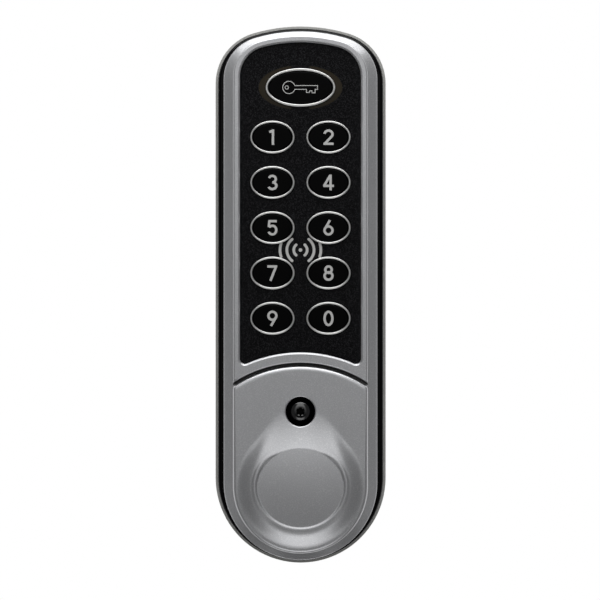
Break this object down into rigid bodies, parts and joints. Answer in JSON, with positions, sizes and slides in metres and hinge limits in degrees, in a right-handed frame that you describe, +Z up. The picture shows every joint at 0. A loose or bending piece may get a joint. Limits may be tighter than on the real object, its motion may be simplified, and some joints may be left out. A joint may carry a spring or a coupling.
{
  "type": "keypad smart lock",
  "caption": "Electronic keypad lock for a cabinet or locker door, with oval keys, a light window, a lever handle, a motor-driven lock pin and a cam behind the door.",
  "frame": {"origin": "on the handle's axis at the door's outer face", "axes": "+Y goes into the door, +Z is up along the lock, +X is to the right for a person facing the keypad"},
  "size_m": [0.0444, 0.062, 0.14],
  "materials": {
    "silver_paint": "satin metallic silver paint on zinc die casting",
    "flange_black": "black powder coat",
    "fascia_black": "fine speckled matt black",
    "key_black": "polished black with pale printed digits",
    "ring_silver": "satin bright ring",
    "smoked_lens": "smoked dark translucent",
    "gasket_grey": "pale grey closed cell foam",
    "silicone_grey": "matt silicone",
    "silicone_black": "matt silicone",
    "board_green": "solder resist",
    "switch_steel": "pressed steel",
    "led_white": "clear potted",
    "chip_black": "moulded epoxy",
    "copper": "bare copper track",
    "moulding_black": "moulded ABS",
    "cell_wrap": "plain shrink sleeve",
    "contact_steel": "nickel plated",
    "screw_steel": "zinc plated",
    "screw_black": "black oxide",
    "barrel_zinc": "satin nickel plate",
    "acetal_white": "acetal",
    "plate_steel": "zinc plated sheet",
    "motor_steel": "plated can",
    "spring_steel": "oiled spring steel",
    "brass": "turned brass"
  },
  "bodies": {
    "lock_body": {"door_gasket": "gasket_grey", "base_plate": "flange_black", "front_housing": "silver_paint", "keypad_fascia": "fascia_black", "key_rings": "ring_silver", "enter_ring": "ring_silver", "led_window_left": "smoked_lens", "led_window_right": "smoked_lens", "key_seal": "silicone_grey", "circuit_board": "board_green", "key_switches": "switch_steel", "status_leds": "led_white", "board_components": "chip_black", "buzzer": "chip_black", "antenna_coil": "copper", "battery_tray": "moulding_black", "batteries": "cell_wrap", "battery_contacts": "contact_steel", "battery_cover": "moulding_black", "battery_cover_screw": "screw_steel", "housing_screws": "screw_steel", "barrel": "barrel_zinc", "spindle_bushes": "acetal_white", "back_plate": "plate_steel", "barrel_nut": "barrel_zinc", "fixing_screws": "screw_steel", "hub_bush": "acetal_white", "seal_ring": "silicone_black", "gap_seal": "silicone_black", "lock_motor": "motor_steel", "motor_bracket": "moulding_black"},
    "handle": {"handle": "silver_paint", "handle_hub": "plate_steel", "handle_screw": "screw_black", "wave_washer": "spring_steel", "lock_rotor": "plate_steel", "circlip": "spring_steel", "spindle": "plate_steel", "cam": "plate_steel", "cam_washer": "screw_steel", "cam_screw": "screw_steel"},
    "lock_pin": {"lock_pin": "brass"},
    "lead_screw": {"lead_screw": "brass"},
    "key_1": {"key_1": "key_black"},
    "key_2": {"key_2": "key_black"},
    "key_3": {"key_3": "key_black"},
    "key_4": {"key_4": "key_black"},
    "key_5": {"key_5": "key_black"},
    "key_6": {"key_6": "key_black"},
    "key_7": {"key_7": "key_black"},
    "key_8": {"key_8": "key_black"},
    "key_9": {"key_9": "key_black"},
    "key_0": {"key_0": "key_black"},
    "enter_key": {"enter_key": "key_black"}
  },
  "joints": [
    {"name": "handle_turn", "type": "hinge", "parent": "lock_body", "child": "handle", "pos_m": [0, 0, 0], "axis": [0, 1, 0], "range_deg": [0, 90]},
    {"name": "lead_screw_spin", "type": "hinge", "parent": "lock_body", "child": "lead_screw", "pos_m": [0, -0.01165, 0.02], "axis": [0, 0, 1], "range_deg": [0, 540]},
    {"name": "lock_pin_slide", "type": "slide", "parent": "lock_body", "child": "lock_pin", "axis": [0, 0, -1], "range_m": [0, 0.003]},
    {"name": "key_1_press", "type": "slide", "parent": "lock_body", "child": "key_1", "axis": [0, 1, 0], "range_m": [0, 0.0006], "stiffness_N_per_m": 1500, "springref_m": -0.0003},
    {"name": "key_2_press", "type": "slide", "parent": "lock_body", "child": "key_2", "axis": [0, 1, 0], "range_m": [0, 0.0006], "stiffness_N_per_m": 1500, "springref_m": -0.0003},
    {"name": "key_3_press", "type": "slide", "parent": "lock_body", "child": "key_3", "axis": [0, 1, 0], "range_m": [0, 0.0006], "stiffness_N_per_m": 1500, "springref_m": -0.0003},
    {"name": "key_4_press", "type": "slide", "parent": "lock_body", "child": "key_4", "axis": [0, 1, 0], "range_m": [0, 0.0006], "stiffness_N_per_m": 1500, "springref_m": -0.0003},
    {"name": "key_5_press", "type": "slide", "parent": "lock_body", "child": "key_5", "axis": [0, 1, 0], "range_m": [0, 0.0006], "stiffness_N_per_m": 1500, "springref_m": -0.0003},
    {"name": "key_6_press", "type": "slide", "parent": "lock_body", "child": "key_6", "axis": [0, 1, 0], "range_m": [0, 0.0006], "stiffness_N_per_m": 1500, "springref_m": -0.0003},
    {"name": "key_7_press", "type": "slide", "parent": "lock_body", "child": "key_7", "axis": [0, 1, 0], "range_m": [0, 0.0006], "stiffness_N_per_m": 1500, "springref_m": -0.0003},
    {"name": "key_8_press", "type": "slide", "parent": "lock_body", "child": "key_8", "axis": [0, 1, 0], "range_m": [0, 0.0006], "stiffness_N_per_m": 1500, "springref_m": -0.0003},
    {"name": "key_9_press", "type": "slide", "parent": "lock_body", "child": "key_9", "axis": [0, 1, 0], "range_m": [0, 0.0006], "stiffness_N_per_m": 1500, "springref_m": -0.0003},
    {"name": "key_0_press", "type": "slide", "parent": "lock_body", "child": "key_0", "axis": [0, 1, 0], "range_m": [0, 0.0006], "stiffness_N_per_m": 1500, "springref_m": -0.0003},
    {"name": "enter_key_press", "type": "slide", "parent": "lock_body", "child": "enter_key", "axis": [0, 1, 0], "range_m": [0, 0.0006], "stiffness_N_per_m": 1500, "springref_m": -0.0003}
  ],
  "couplings": [
    {"joint": "lead_screw_spin", "follows": "lock_pin_slide", "rad_per_m": 3141.6}
  ]
}
